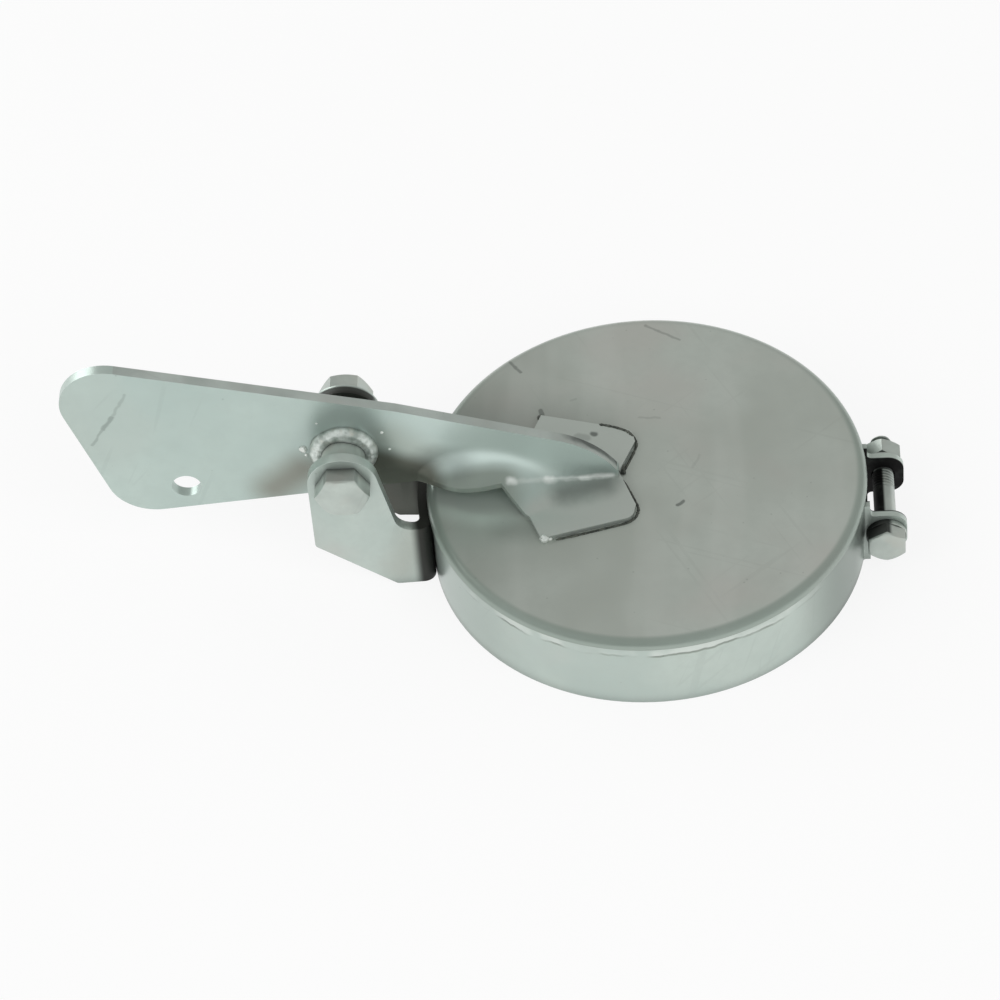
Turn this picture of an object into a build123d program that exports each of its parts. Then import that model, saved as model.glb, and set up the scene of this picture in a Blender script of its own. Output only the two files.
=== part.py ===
from build123d import *
import math
import os

# Flue rain cap: a flat lid on a counterweighted arm, hinged to a pipe clamp.
# Millimetres. Origin on the axis of the clamp band, at the band's lower edge.
# +Z is up the pipe, the clamp screw is at +X, the hinge and counterweight at -X.

# Pipe and clamp band
pipe_diameter = 114.3
pipe_play = 0.35
band_thickness = 2.0
band_height = 21.5
lug_gap = 19.0
lug_height = 13.5
lug_reach = 10.8
lug_corner = 4.5
lug_bend = 0.8
lug_root_round = 1.25
clamp_hole_inset = 5.7

# Clamp screw, washers and nut (M6)
screw_diameter = 6.0
screw_hole = 6.5
screw_length = 35.0
screw_across_flats = 10.0
screw_head_height = 4.0
screw_nut_height = 5.2
screw_nut_turn = 30.0
washer_diameter = 11.0
washer_hole = 6.4
washer_thickness = 1.6

# Lid
lid_overhang = 0.5
lid_thickness = 3.0
lid_rim_round = 2.5
lid_rim_flats = 3
lid_seat_gap = 0.1

# Hinge bracket. Its x values count from the pivot axis.
pivot_reach = 21.5
pivot_rise = 16.4
bracket_thickness = 3.0
bracket_bend = 1.5
bracket_heel_round = 3.3
ear_gap = 22.0
ear_radius = 9.5
ear_foot_height = 16.4
ear_slope_end = 11.7
ear_neck_out = 12.3
ear_neck_rise = 3.7
ear_neck_round = 5.0
ear_corner_round = 1.5
ear_kink_out = 13.0
ear_kink = 0.8
weld_gap = 0.05

# Pivot bolt and nut (M8), and the sleeve that turns on the bolt
bolt_diameter = 8.0
bolt_hole_play = 0.1
bolt_length = 35.0
bolt_across_flats = 13.0
bolt_head_height = 5.3
bolt_nut_height = 6.8
sleeve_outer = 12.0
sleeve_bevel = 0.5
sleeve_running_play = 0.08
sleeve_end_play = 0.3
sleeve_fit = 0.05
sleeve_weld_leg = 3.0
sleeve_weld_rise = 2.7
sleeve_weld_crown = 0.62

# Hexagons and screw ends
hexagon_face_share = 0.95
hexagon_chamfer_angle = 30.0
end_chamfer_share = 0.12
thread_play = 0.05

# Arm: two mirrored pressed plates, back to back. Its points are given as
# (x from the pivot axis, height above the lid's top face).
plate_thickness = 1.5
arm_top_left = (-80.95, 55.43)
arm_top_left_round = 12.7
arm_top_slope = 0.254
arm_top_knee = 15.0
arm_top_far = (59.0, 16.6)
arm_tip = (73.7, 3.7)
arm_tip_radius = 27.9
arm_tail_rise = 2.1
arm_low_left = (-61.65, -5.6)
arm_low_left_round = 13.0
arm_low_slope = 0.108
counterweight_hole = 8.0
counterweight_hole_at = (-43.9, 4.6)

# Skirt of the arm plates: it bulges outwards and turns into the feet.
# Each station: x from the pivot axis, height above the lid where the bend starts,
# bulge of the crease, height of the crease above the lid.
skirt_stations = (
    (19.0, 6.9, 0.3, 4.6),
    (24.0, 12.2, 2.8, 4.8),
    (30.0, 15.2, 5.6, 5.2),
    (36.0, 16.6, 6.4, 6.0),
    (42.0, 16.0, 5.8, 6.8),
    (48.0, 13.8, 4.2, 5.8),
    (54.0, 11.2, 2.2, 4.0),
    (61.0, 7.8, 0.9, 2.8),
    (73.0, 4.4, 0.3, 2.2),
    (82.0, 4.0, 0.3, 2.2),
)
skirt_strips = 24
skirt_free_stations = 5
skirt_edge_inset = 0.3

# Foot of each plate, as (x from the pivot axis, distance from the arm's middle plane)
foot_waist = (49.5, 14.8)
foot_left = (52.5, 22.6)
foot_right = (77.3, 16.0)
foot_nose = (78.2, 11.6)
foot_corner_round = 3.0
foot_heel_run = 8.0

# Cutting forms reach this far past what they cut; corners are found within the tolerance
cut_margin = 5.0
pick_tolerance = 0.05

# Values that follow from the sizes above
band_inner = pipe_diameter / 2 + pipe_play
band_outer = band_inner + band_thickness
lug_inner_y = lug_gap / 2
lug_outer_y = lug_inner_y + band_thickness
lug_end_x = band_outer + lug_reach
lug_mid_z = band_height / 2
clamp_hole_x = lug_end_x - clamp_hole_inset
lid_bottom = band_height + lid_seat_gap
lid_top = lid_bottom + lid_thickness
foot_top = lid_top + plate_thickness
pivot_x = -band_outer - pivot_reach
pivot_z = lid_top + pivot_rise
ear_inner_y = ear_gap / 2
ear_outer_y = ear_inner_y + bracket_thickness
ear_kink_x = pivot_x + ear_kink_out
web_inner = band_outer + weld_gap
web_outer = web_inner + bracket_thickness
skirt_start_x = pivot_x + skirt_stations[0][0]
foot_blank_reach = foot_left[1] + cut_margin


def slab_xz(sketch, y_from, y_to):
    """Solid with the (x, z) outline of the sketch, from y_from to y_to."""
    return Plane.XZ.offset(-y_to) * extrude(sketch, y_to - y_from)


def rod_y(x, z, radius, y_from, y_to):
    """Round bar along Y."""
    return slab_xz(Pos(x, z) * Circle(radius), y_from, y_to)


def turned_y(x, z, points):
    """Solid of revolution about the line along Y through (x, z), from (radius, y) points."""
    outline = Polyline(*points, close=True)
    return Pos(x, 0, z) * revolve(make_face(outline), Axis.Y)


def corners_at(shape, *places):
    """Corners of a flat shape that lie at the given places."""
    return [
        v
        for v in shape.vertices()
        for place in places
        if math.hypot(v.X - place[0], v.Y - place[1]) < pick_tolerance
    ]


def arm_place(point):
    """Place of an arm point in the frame, as (x, z)."""
    return (pivot_x + point[0], lid_top + point[1])


def hexagon_bar(x, z, across_flats, turn, y_from, y_to):
    """Hexagonal bar along Y, with two flats level before it is turned."""
    corner_radius = across_flats / math.sqrt(3)
    hexagon = RegularPolygon(corner_radius, 6, rotation=turn)
    return slab_xz(Pos(x, z) * hexagon, y_from, y_to)


def corner_cone(x, z, across_flats, y_end, y_inside):
    """Turned blank that leaves the chamfered corners at the y_end side of a hexagon."""
    corner_radius = across_flats / math.sqrt(3)
    face_radius = across_flats / 2 * hexagon_face_share
    depth = (corner_radius - face_radius) * math.tan(math.radians(hexagon_chamfer_angle))
    chamfer_y = y_end + math.copysign(depth, y_inside - y_end)
    return turned_y(
        x,
        z,
        [
            (0, y_end),
            (face_radius, y_end),
            (corner_radius, chamfer_y),
            (corner_radius, y_inside),
            (0, y_inside),
        ],
    )


def hex_bolt(x, z, diameter, across_flats, turn, head_height, length, y_seat):
    """Bolt along Y: the head lies on the -Y side of its seat, the shank runs to +Y."""
    radius = diameter / 2
    end_chamfer = diameter * end_chamfer_share
    y_head = y_seat - head_height
    y_root = y_seat - head_height / 2
    y_end = y_seat + length
    head = hexagon_bar(x, z, across_flats, turn, y_head, y_seat)
    head = head & corner_cone(x, z, across_flats, y_head, y_seat)
    shank = turned_y(
        x,
        z,
        [
            (0, y_root),
            (radius, y_root),
            (radius, y_end - end_chamfer),
            (radius - end_chamfer, y_end),
            (0, y_end),
        ],
    )
    return head + shank


def hex_nut(x, z, diameter, across_flats, turn, height, y_seat):
    """Nut along Y whose near face lies at y_seat and whose body points to +Y."""
    y_end = y_seat + height
    y_mid = y_seat + height / 2
    body = hexagon_bar(x, z, across_flats, turn, y_seat, y_end)
    far_half = corner_cone(x, z, across_flats, y_end, y_mid)
    near_half = corner_cone(x, z, across_flats, y_seat, y_mid)
    body = body & (far_half + near_half)
    bore = rod_y(x, z, diameter / 2 + thread_play, y_seat - cut_margin, y_end + cut_margin)
    return body - bore


def make_band():
    """Split strap whose two ends turn out into lugs for the clamp screw."""
    ring = Circle(band_outer) - Circle(band_inner)
    split = Pos(band_outer, 0) * Rectangle(2 * band_outer, lug_gap)
    strap = ring - split
    lug_root_x = band_inner - cut_margin
    for side in (1, -1):
        lug_middle = ((lug_root_x + lug_end_x) / 2, side * (lug_inner_y + band_thickness / 2))
        lug = Pos(*lug_middle) * Rectangle(lug_end_x - lug_root_x, band_thickness)
        strap = strap + (lug - Circle(band_inner))
    outer_root_x = math.sqrt(band_outer**2 - lug_outer_y**2)
    inner_root_x = math.sqrt(band_inner**2 - lug_inner_y**2)
    outer_roots = corners_at(strap, (outer_root_x, lug_outer_y), (outer_root_x, -lug_outer_y))
    strap = fillet(outer_roots, lug_bend)
    inner_roots = corners_at(strap, (inner_root_x, lug_inner_y), (inner_root_x, -lug_inner_y))
    strap = fillet(inner_roots, lug_bend + band_thickness)
    band = extrude(strap, band_height)

    lug_start_x = band_outer + lug_bend
    reach = lug_end_x - lug_start_x
    lug_low_z = lug_mid_z - lug_height / 2
    lug_high_z = lug_mid_z + lug_height / 2
    tongue = Pos(lug_start_x + reach / 2, lug_mid_z) * Rectangle(reach, lug_height)
    tongue = fillet(
        corners_at(tongue, (lug_end_x, lug_low_z), (lug_end_x, lug_high_z)), lug_corner
    )
    waste = Pos(lug_start_x + reach, lug_mid_z) * Rectangle(2 * reach, 2 * band_height)
    waste = waste - tongue
    waste = fillet(
        corners_at(waste, (lug_start_x, lug_low_z), (lug_start_x, lug_high_z)), lug_root_round
    )
    cut_y = lug_outer_y + cut_margin
    band = band - slab_xz(waste, -cut_y, cut_y)
    return band - rod_y(clamp_hole_x, lug_mid_z, screw_hole / 2, -cut_y, cut_y)


def make_washers():
    """Two flat washers: under the screw head and on the far lug."""
    washers = []
    for y_from in (-lug_outer_y - washer_thickness, lug_outer_y):
        y_to = y_from + washer_thickness
        disc = rod_y(clamp_hole_x, lug_mid_z, washer_diameter / 2, y_from, y_to)
        hole = rod_y(
            clamp_hole_x, lug_mid_z, washer_hole / 2, y_from - cut_margin, y_to + cut_margin
        )
        washers.append(disc - hole)
    return Compound(children=washers)


def make_lid():
    """Flat pressed disc whose upper rim is rounded, drawn with a few flats."""
    radius = band_outer + lid_overhang
    rim = []
    for k in range(lid_rim_flats + 1):
        angle = math.radians(90 * k / lid_rim_flats)
        rim.append(
            (
                radius - lid_rim_round * (1 - math.cos(angle)),
                0,
                lid_top - lid_rim_round * (1 - math.sin(angle)),
            )
        )
    outline = Polyline((0, 0, lid_bottom), (radius, 0, lid_bottom), *rim, (0, 0, lid_top), close=True)
    return revolve(make_face(outline), Axis.Z)


def ear_outline():
    """Side outline of one ear and the web, as (x, z)."""
    left_x = pivot_x - ear_radius
    slope_end_x = pivot_x + ear_slope_end
    neck_drop = pivot_z - lid_top - ear_neck_rise
    reach = math.hypot(ear_neck_out, neck_drop)
    touch_angle = math.acos(ear_radius / reach) - math.atan2(neck_drop, ear_neck_out)
    touch_x = pivot_x + ear_radius * math.cos(touch_angle)
    touch_z = pivot_z + ear_radius * math.sin(touch_angle)
    throat_x = touch_x + (touch_z - band_height) * math.tan(touch_angle)
    blade = make_face(
        Polyline(
            (left_x, pivot_z),
            (left_x, ear_foot_height),
            (slope_end_x, 0),
            (0, 0),
            (0, band_height),
            (throat_x, band_height),
            (touch_x, touch_z),
            (pivot_x, pivot_z),
            close=True,
        )
    )
    blade = fillet(
        corners_at(blade, (left_x, ear_foot_height), (slope_end_x, 0)), ear_corner_round
    )
    blade = fillet(corners_at(blade, (throat_x, band_height)), ear_neck_round)
    return blade + Pos(pivot_x, pivot_z) * Circle(ear_radius)


def make_bracket():
    """U bracket bent from one strip: two ears for the pivot and a web curved to the band."""
    far_x = pivot_x - ear_radius - cut_margin
    corner_x = -math.sqrt(web_inner**2 - ear_outer_y**2) + cut_margin
    web_strip = Pos(-web_outer, 0) * Rectangle(web_outer, ear_gap)
    plan = (Circle(web_outer) - Circle(web_inner)) & web_strip
    for side in (1, -1):
        outer = side * ear_outer_y
        inner = side * ear_inner_y
        drawn_in = side * ear_kink
        ear = make_face(
            Polyline(
                (far_x, outer),
                (ear_kink_x, outer),
                (corner_x, outer - drawn_in),
                (corner_x, inner - drawn_in),
                (ear_kink_x, inner),
                (far_x, inner),
                close=True,
            )
        )
        plan = plan + (ear - Circle(web_inner))

    def corners_on_circle(radius):
        """Corners of the plan that lie on a circle about the band's axis."""
        return [
            v
            for v in plan.vertices()
            if abs(math.hypot(v.X, v.Y) - radius) < pick_tolerance
        ]

    plan = fillet(corners_on_circle(web_outer), bracket_bend)
    plan = fillet(corners_on_circle(web_inner), bracket_heel_round)
    blank = extrude(plan, pivot_z + ear_radius + cut_margin)
    cut_y = ear_outer_y + cut_margin
    bracket = blank & slab_xz(ear_outline(), -cut_y, cut_y)
    return bracket - rod_y(pivot_x, pivot_z, bolt_diameter / 2 + bolt_hole_play, -cut_y, cut_y)


def make_sleeve():
    """Sleeve through the arm that turns on the pivot bolt."""
    half = ear_inner_y - sleeve_end_play
    bore = bolt_diameter / 2 + sleeve_running_play
    outer = sleeve_outer / 2
    return turned_y(
        pivot_x,
        pivot_z,
        [
            (bore, -half),
            (outer - sleeve_bevel, -half),
            (outer, -half + sleeve_bevel),
            (outer, half - sleeve_bevel),
            (outer - sleeve_bevel, half),
            (bore, half),
        ],
    )


def make_sleeve_weld():
    """Weld bead round the sleeve, on the rear arm plate."""
    inner = sleeve_outer / 2 + sleeve_fit
    root = (inner, plate_thickness)
    toe = (inner + sleeve_weld_leg, plate_thickness)
    top = (inner, plate_thickness + sleeve_weld_rise)
    crown = (
        inner + sleeve_weld_leg * sleeve_weld_crown,
        plate_thickness + sleeve_weld_rise * sleeve_weld_crown,
    )
    bead = make_face(Polyline(top, root, toe, crown, close=True))
    return Pos(pivot_x, 0, pivot_z) * revolve(bead, Axis.Y)


def arm_outline():
    """Side outline of the arm, as (x, z). Its lower right part is open for the skirt."""
    top_left = arm_place(arm_top_left)
    low_left = arm_place(arm_low_left)
    far = arm_place(arm_top_far)
    tip = arm_place(arm_tip)
    knee_drop = arm_top_slope * (arm_top_knee - arm_top_left[0])
    knee = arm_place((arm_top_knee, arm_top_left[1] - knee_drop))
    low_right = (skirt_start_x, low_left[1] + arm_low_slope * (skirt_start_x - low_left[0]))
    chord = math.dist(far, tip)
    sagitta = arm_tip_radius - math.sqrt(arm_tip_radius**2 - chord**2 / 4)
    tip_middle = (
        (far[0] + tip[0]) / 2 + (far[1] - tip[1]) / chord * sagitta,
        (far[1] + tip[1]) / 2 + (tip[0] - far[0]) / chord * sagitta,
    )
    blank_end_x = pivot_x + skirt_stations[-1][0] + cut_margin
    tail_z = lid_top + arm_tail_rise
    outline = make_face(
        Polyline(
            far,
            knee,
            top_left,
            low_left,
            low_right,
            (skirt_start_x, lid_bottom),
            (blank_end_x, lid_bottom),
            (blank_end_x, tail_z),
            (tip[0], tail_z),
            tip,
        )
        + ThreePointArc(tip, tip_middle, far)
    )
    outline = fillet(corners_at(outline, top_left), arm_top_left_round)
    return fillet(corners_at(outline, low_left), arm_low_left_round)


def skirt_sizes(x_from_pivot):
    """Bend height, bulge and crease height, on smooth curves through the stations."""
    last = len(skirt_stations) - 1
    index = max(k for k in range(last) if skirt_stations[k][0] <= x_from_pivot)
    left, right = skirt_stations[index], skirt_stations[index + 1]
    before = skirt_stations[max(index - 1, 0)]
    after = skirt_stations[min(index + 2, last)]
    span = right[0] - left[0]
    t = (x_from_pivot - left[0]) / span
    sizes = []
    for k in (1, 2, 3):
        slope_left = (right[k] - before[k]) / (right[0] - before[0]) * span
        slope_right = (after[k] - left[k]) / (after[0] - left[0]) * span
        value = (2 * t**3 - 3 * t**2 + 1) * left[k] + (3 * t**2 - 2 * t**3) * right[k]
        value = value + (t**3 - 2 * t**2 + t) * slope_left + (t**3 - t**2) * slope_right
        sizes.append(value)
    return sizes


def skirt_section(x_from_pivot):
    """Closed section of one plate: flat web, round bulge, crease and foot, as a wire."""
    bend_rise, bulge, crease_rise = skirt_sizes(x_from_pivot)
    bend_z = lid_top + bend_rise
    crease_z = lid_top + crease_rise
    face = plate_thickness
    drop = bend_z - crease_z
    radius = (bulge**2 + drop**2) / (2 * bulge)
    centre = Vector(face + radius, bend_z)
    crease = Vector(face + bulge, crease_z)
    heel = Vector(crease.X + foot_heel_run, foot_top)
    along = (heel - crease).normalized()
    below = Vector(along.Y, -along.X)
    start = crease + below * plate_thickness
    offset = start - centre
    half_b = offset.dot(along)
    under_radius = radius + plate_thickness
    step = -half_b - math.sqrt(half_b**2 - (offset.dot(offset) - under_radius**2))
    under_crease = start + along * step
    under_heel = start + along * ((start.Y - lid_top) / -along.Y)

    def on_arc(arc_radius, end):
        """Middle point of an arc about the bend's centre, from level with it down to end."""
        angle = math.atan2(centre.Y - end.Y, centre.X - end.X) / 2
        return centre - Vector(math.cos(angle), math.sin(angle)) * arc_radius

    def at(point):
        """Point of the section in the frame, on the -Y side of the arm."""
        return (pivot_x + x_from_pivot, -point.X, point.Y)

    top_z = pivot_z + ear_radius + cut_margin
    web_top = Vector(face, top_z)
    under_top = Vector(0, top_z)
    bend = Vector(face, bend_z)
    under_bend = Vector(0, bend_z)
    foot_end = Vector(foot_blank_reach, foot_top)
    under_end = Vector(foot_blank_reach, lid_top)
    under_middle = on_arc(under_radius, under_crease)
    return Wire(
        [
            Edge.make_line(at(web_top), at(bend)),
            Edge.make_three_point_arc(at(bend), at(on_arc(radius, crease)), at(crease)),
            Edge.make_line(at(crease), at(heel)),
            Edge.make_line(at(heel), at(foot_end)),
            Edge.make_line(at(foot_end), at(under_end)),
            Edge.make_line(at(under_end), at(under_heel)),
            Edge.make_line(at(under_heel), at(under_crease)),
            Edge.make_three_point_arc(at(under_crease), at(under_middle), at(under_bend)),
            Edge.make_line(at(under_bend), at(under_top)),
            Edge.make_line(at(under_top), at(web_top)),
        ]
    )


def plan_outline():
    """Plan of one plate, as (x, distance from the arm's middle plane)."""
    free = skirt_stations[:skirt_free_stations]
    rim_places = [(pivot_x + s[0], plate_thickness + s[2] - skirt_edge_inset) for s in free]
    waist, left, right, nose = (
        (pivot_x + place[0], place[1]) for place in (foot_waist, foot_left, foot_right, foot_nose)
    )
    tip_x = pivot_x + arm_tip[0]
    start = rim_places[0]
    rest = Polyline(
        rim_places[-1],
        waist,
        left,
        right,
        nose,
        (tip_x, 0),
        (tip_x, -cut_margin),
        (start[0], -cut_margin),
        start,
    )
    plan = make_face(Spline(*rim_places) + rest)
    return fillet(corners_at(plan, right), foot_corner_round)


def make_arm_plate():
    """Front arm plate: flat counterweight and web, pressed skirt and foot."""
    first = skirt_stations[0][0]
    length = skirt_stations[-1][0] - first
    stops = [first + length * k / skirt_strips for k in range(skirt_strips + 1)]
    skirt = Solid.make_loft([skirt_section(stop) for stop in stops], ruled=True)
    blank_top = lid_top + arm_top_left[1]
    plan_form = Pos(0, 0, lid_bottom) * extrude(mirror(plan_outline(), Plane.XZ), blank_top)
    skirt = skirt & plan_form

    left_x = pivot_x + arm_top_left[0]
    flat = Pos(left_x, 0, 0) * Box(
        skirt_start_x - left_x,
        plate_thickness,
        blank_top,
        align=(Align.MIN, Align.MAX, Align.MIN),
    )
    side_form = slab_xz(arm_outline(), -foot_blank_reach - cut_margin, cut_margin)
    plate = (flat & side_form) + (skirt & side_form)
    hole_x, hole_z = arm_place(counterweight_hole_at)
    for x, z, radius in (
        (pivot_x, pivot_z, sleeve_outer / 2 + sleeve_fit),
        (hole_x, hole_z, counterweight_hole / 2),
    ):
        plate = plate - rod_y(x, z, radius, -plate_thickness - cut_margin, cut_margin)
    return plate


def save(name, shape):
    """Write one piece to parts/NAME.step."""
    shape.label = name
    export_step(shape, f"parts/{name}.step")


os.makedirs("parts", exist_ok=True)

front_plate = make_arm_plate()
rear_weld = make_sleeve_weld()
nodes = {
    "clamp_band": make_band(),
    "clamp_screw": hex_bolt(
        clamp_hole_x,
        lug_mid_z,
        screw_diameter,
        screw_across_flats,
        screw_nut_turn,
        screw_head_height,
        screw_length,
        -lug_outer_y - washer_thickness,
    ),
    "clamp_washers": make_washers(),
    "clamp_nut": hex_nut(
        clamp_hole_x,
        lug_mid_z,
        screw_diameter,
        screw_across_flats,
        screw_nut_turn,
        screw_nut_height,
        lug_outer_y + washer_thickness,
    ),
    "hinge_bracket": make_bracket(),
    "pivot_bolt": hex_bolt(
        pivot_x,
        pivot_z,
        bolt_diameter,
        bolt_across_flats,
        0,
        bolt_head_height,
        bolt_length,
        -ear_outer_y,
    ),
    "pivot_nut": hex_nut(
        pivot_x,
        pivot_z,
        bolt_diameter,
        bolt_across_flats,
        0,
        bolt_nut_height,
        ear_outer_y,
    ),
    "pivot_sleeve": make_sleeve(),
    "sleeve_weld_front": mirror(rear_weld, Plane.XZ),
    "sleeve_weld_rear": rear_weld,
    "lid_disc": make_lid(),
    "arm_front_plate": front_plate,
    "arm_rear_plate": mirror(front_plate, Plane.XZ),
}
for node_name, node_shape in nodes.items():
    save(node_name, node_shape)
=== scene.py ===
import math

import bmesh
import bpy
from mathutils import Matrix, Vector, noise


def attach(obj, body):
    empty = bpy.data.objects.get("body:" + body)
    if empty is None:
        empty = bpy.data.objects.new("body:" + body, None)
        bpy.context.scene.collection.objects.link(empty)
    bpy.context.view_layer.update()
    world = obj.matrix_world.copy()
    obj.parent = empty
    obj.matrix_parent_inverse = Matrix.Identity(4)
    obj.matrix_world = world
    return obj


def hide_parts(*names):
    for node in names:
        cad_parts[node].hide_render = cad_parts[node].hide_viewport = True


# Flue rain cap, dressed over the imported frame. The axes are those of the solids: origin
# on the axis of the clamp band at its lower edge, +Z up the pipe, hinge at -X.
# Lengths are in millimetres and turn into metres through MM, apart from those of the
# studio. A noise's scale is per metre.
MM = 0.001

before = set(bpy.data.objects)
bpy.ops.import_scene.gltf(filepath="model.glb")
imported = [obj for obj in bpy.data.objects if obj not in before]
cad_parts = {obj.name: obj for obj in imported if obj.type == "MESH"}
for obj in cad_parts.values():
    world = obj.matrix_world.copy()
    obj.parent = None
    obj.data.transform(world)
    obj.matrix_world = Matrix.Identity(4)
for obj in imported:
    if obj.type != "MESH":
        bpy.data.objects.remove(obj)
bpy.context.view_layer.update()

# Sizes repeated from the solids
LID_RADIUS = 60.0
LID_LOW = 21.6
LID_TOP = 24.6
LID_ROUND = 2.5
PLATE = 1.5
FOOT_TOP = LID_TOP + PLATE
PIVOT_X = -81.0
PIVOT_Z = 41.0
SCREW_X = 64.6
SCREW_Z = 10.75

# Camera, fitted to the photograph. Angles in degrees.
CAMERA_AZIMUTH = 4.3714
CAMERA_ELEVATION = 48.0143
CAMERA_ROLL = -5.4059
CAMERA_DISTANCE = 1400.0
CAMERA_TARGET = (-41.4129, 15.2265, 0.0)
CAMERA_LENS = 181.36
CAMERA_SENSOR = 36.0

# Studio, in metres: name, size, energy, place, seen in reflections
LAMPS = (
    ("key", 1.3, 10.0, (-1.32, 1.11, 0.85), True),
    ("front_left", 1.6, 14.0, (-1.3, -0.9, 1.3), False),
    ("front_right", 1.6, 12.0, (1.0, -1.2, 1.3), False),
)
LAMPS_AIM = (-0.03, 0.0, 0.02)
FLOOR_HALF = 4.0
FLOOR_GLOW = 0.86

# Zinc. Below about 0.28 the denoiser takes the plating for a mirror, and blotches form
# where a surface crosses that value, so every zinc stays above it.
ZINC_ROUGHNESS = 0.285
ZINC_METALLIC = 0.6
FINEST_MOTTLE = 600.0
SCRATCH_TURNS = ((0.2, 0.35, 0.5), (-0.4, 0.1, 1.2), (0.6, -0.5, 2.3))
SCRATCH_STRETCH = (1.3, 70.0, 50.0)
SCRATCH_STRENGTH = 0.09
JITTER = 1.1
SOFT_MARK = 3.0
MARK_CORE = 0.35

# Tones laid over the zinc: stains, painted shade, painted highlights and painted reflections
STAIN_AND_SHADE = (0.035, 0.045, 0.04)
GLINT_WHITE = (0.92, 0.96, 0.93)
BLACK_SHADE = (0.003, 0.003, 0.003)
EAR_SHADE = (0.045, 0.042, 0.028)
GAP_SHADE = (0.012, 0.011, 0.008)
EAR_BEND_REFLECTION = (0.4, 0.4, 0.35)
WELD_RING_TONE = (0.3, 0.35, 0.34)
HEAT_SCALE = (0.3, 0.3, 0.26)
WEB_SHEEN = (0.68, 0.8, 0.76)
BULGE_SHADE = (0.3, 0.345, 0.305)
DULL_FOOT = (0.515, 0.555, 0.515)
LID_HINGE_SHADE = (0.26, 0.285, 0.255)
LID_ARM_REFLECTION = (0.62, 0.71, 0.65)
LID_STREAKS = (0.62, 0.65, 0.61)
LID_RIM_SHADE = (0.27, 0.335, 0.295)
LIP_HIGHLIGHT = (0.78, 0.82, 0.78)
LIP_SHADOW_LINE = (0.14, 0.17, 0.13)
STRAP_END_SHADE = (0.25, 0.295, 0.265)
DARK_RUN_DEEP = (0.02, 0.024, 0.02)
DARK_RUN_PALE = (0.1, 0.11, 0.09)

# Marks: start, end, width and strength. Those of the lid lie on its top and give x and y.
LID_MARKS = (
    ((-37.2, 44.6), (-34.4, 40.2), 0.7, 0.45),
    ((-28.9, 25.6), (-28.2, 23.4), 1.2, 0.6),
    ((-20.5, 29.2), (-19.0, 29.6), 0.6, 0.2),
    ((-15.9, 16.2), (-15.0, 16.4), 0.9, 0.7),
    ((8.2, -11.1), (9.9, -9.7), 0.8, 0.6),
    ((-1.5, 21.6), (4.0, 21.2), 0.6, 0.16),
    ((0.5, 56.6), (10.1, 50.4), 0.6, 0.3),
    ((14.8, 6.9), (12.8, 2.6), 0.6, 0.1),
    # Painted shade: a wide soft darkening behind the arm, and a smaller one in front of it
    ((-54.0, 21.0), (-20.0, 16.0), 21.0, 0.3),
    ((-38.0, -17.0), (-30.0, -17.5), 8.0, 0.24),
)
ARM_MARKS = (
    # Scratches at the counterweight end
    ((-148.6, -PLATE, 47.0), (-145.0, -PLATE, 53.2), 0.6, 0.24),
    ((-145.0, -PLATE, 53.2), (-142.0, -PLATE, 57.4), 0.9, 0.32),
    ((-141.6, -PLATE, 58.4), (-137.4, -PLATE, 66.2), 0.7, 0.18),
    # Nicks at the upper edge
    ((-37.0, -1.0, 47.4), (-34.6, -1.0, 47.2), 0.8, 0.5),
    ((-33.0, -1.0, 47.0), (-31.5, -1.0, 46.8), 0.7, 0.4),
    # Spots on the rear foot
    ((-14.2, 14.9, FOOT_TOP), (-13.8, 14.7, FOOT_TOP), 1.2, 0.7),
    ((-18.4, 14.2, FOOT_TOP), (-15.9, 13.4, FOOT_TOP), 1.6, 0.25),
    # Painted shade: where the front foot turns up under the web, and left of the bulge
    ((-22.0, -7.0, 26.8), (-11.0, -4.2, 26.6), 6.8, 0.52),
    ((-57.0, -2.5, 36.5), (-51.0, -4.0, 35.5), 8.0, 0.36),
)
# Painted highlights along the bend of the front plate's skirt
ARM_PAINTED_GLINTS = (
    ((-36.7, -6.2, 31.4), (-35.9, -6.0, 31.0), 1.7, 0.9),
    ((-26.9, -3.8, 28.6), (-25.3, -3.4, 28.2), 1.6, 0.9),
    ((-35.0, -5.8, 30.8), (-27.6, -4.0, 28.9), 1.2, 0.3),
    ((-24.4, -3.1, 27.9), (-16.0, -2.1, 27.3), 1.1, 0.4),
    ((-17.5, -2.2, 27.3), (-9.0, -1.7, 27.3), 1.3, 0.75),
)
# The sheared upper edge is dark near the arm's tip
EDGE_MARKS = (
    ((-20.0, 1.2, 42.3), (-15.7, 1.2, 38.3), 3.0, 0.75),
    ((-15.7, 1.2, 38.3), (-7.4, 1.2, 27.1), 2.2, 0.7),
)
# Soft patches on the arm: start, end, width, core, strength, colour.
# Painted shade right of the weld, brown left of it, and painted shade below the weld towards the
# bracket.
ARM_PATCHES = (
    ((-68.0, -PLATE, 45.0), (-60.0, -PLATE, 38.0), 10.0, 0.0, 0.28, (0.3, 0.285, 0.21)),
    ((-101.0, -PLATE, 27.0), (-93.0, -PLATE, 34.0), 10.5, 0.0, 0.7, (0.2, 0.18, 0.14)),
    ((-74.0, -PLATE, 34.0), (-62.0, -PLATE, 29.0), 10.5, 0.4, 0.85, (0.075, 0.07, 0.045)),
)

# Copied meshes: distance at which vertices are one, and angle in degrees up to which
# neighbouring triangles are one face
MERGE = 0.002
FLAT_ANGLE = 0.6

# Weld beads round the sleeve
WELD_INNER = 6.06
WELD_LEG = 3.05
WELD_RISE = 2.34
WELD_STEPS = 150
WELD_RIPPLES = 21
WELD_ARC = 8

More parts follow.
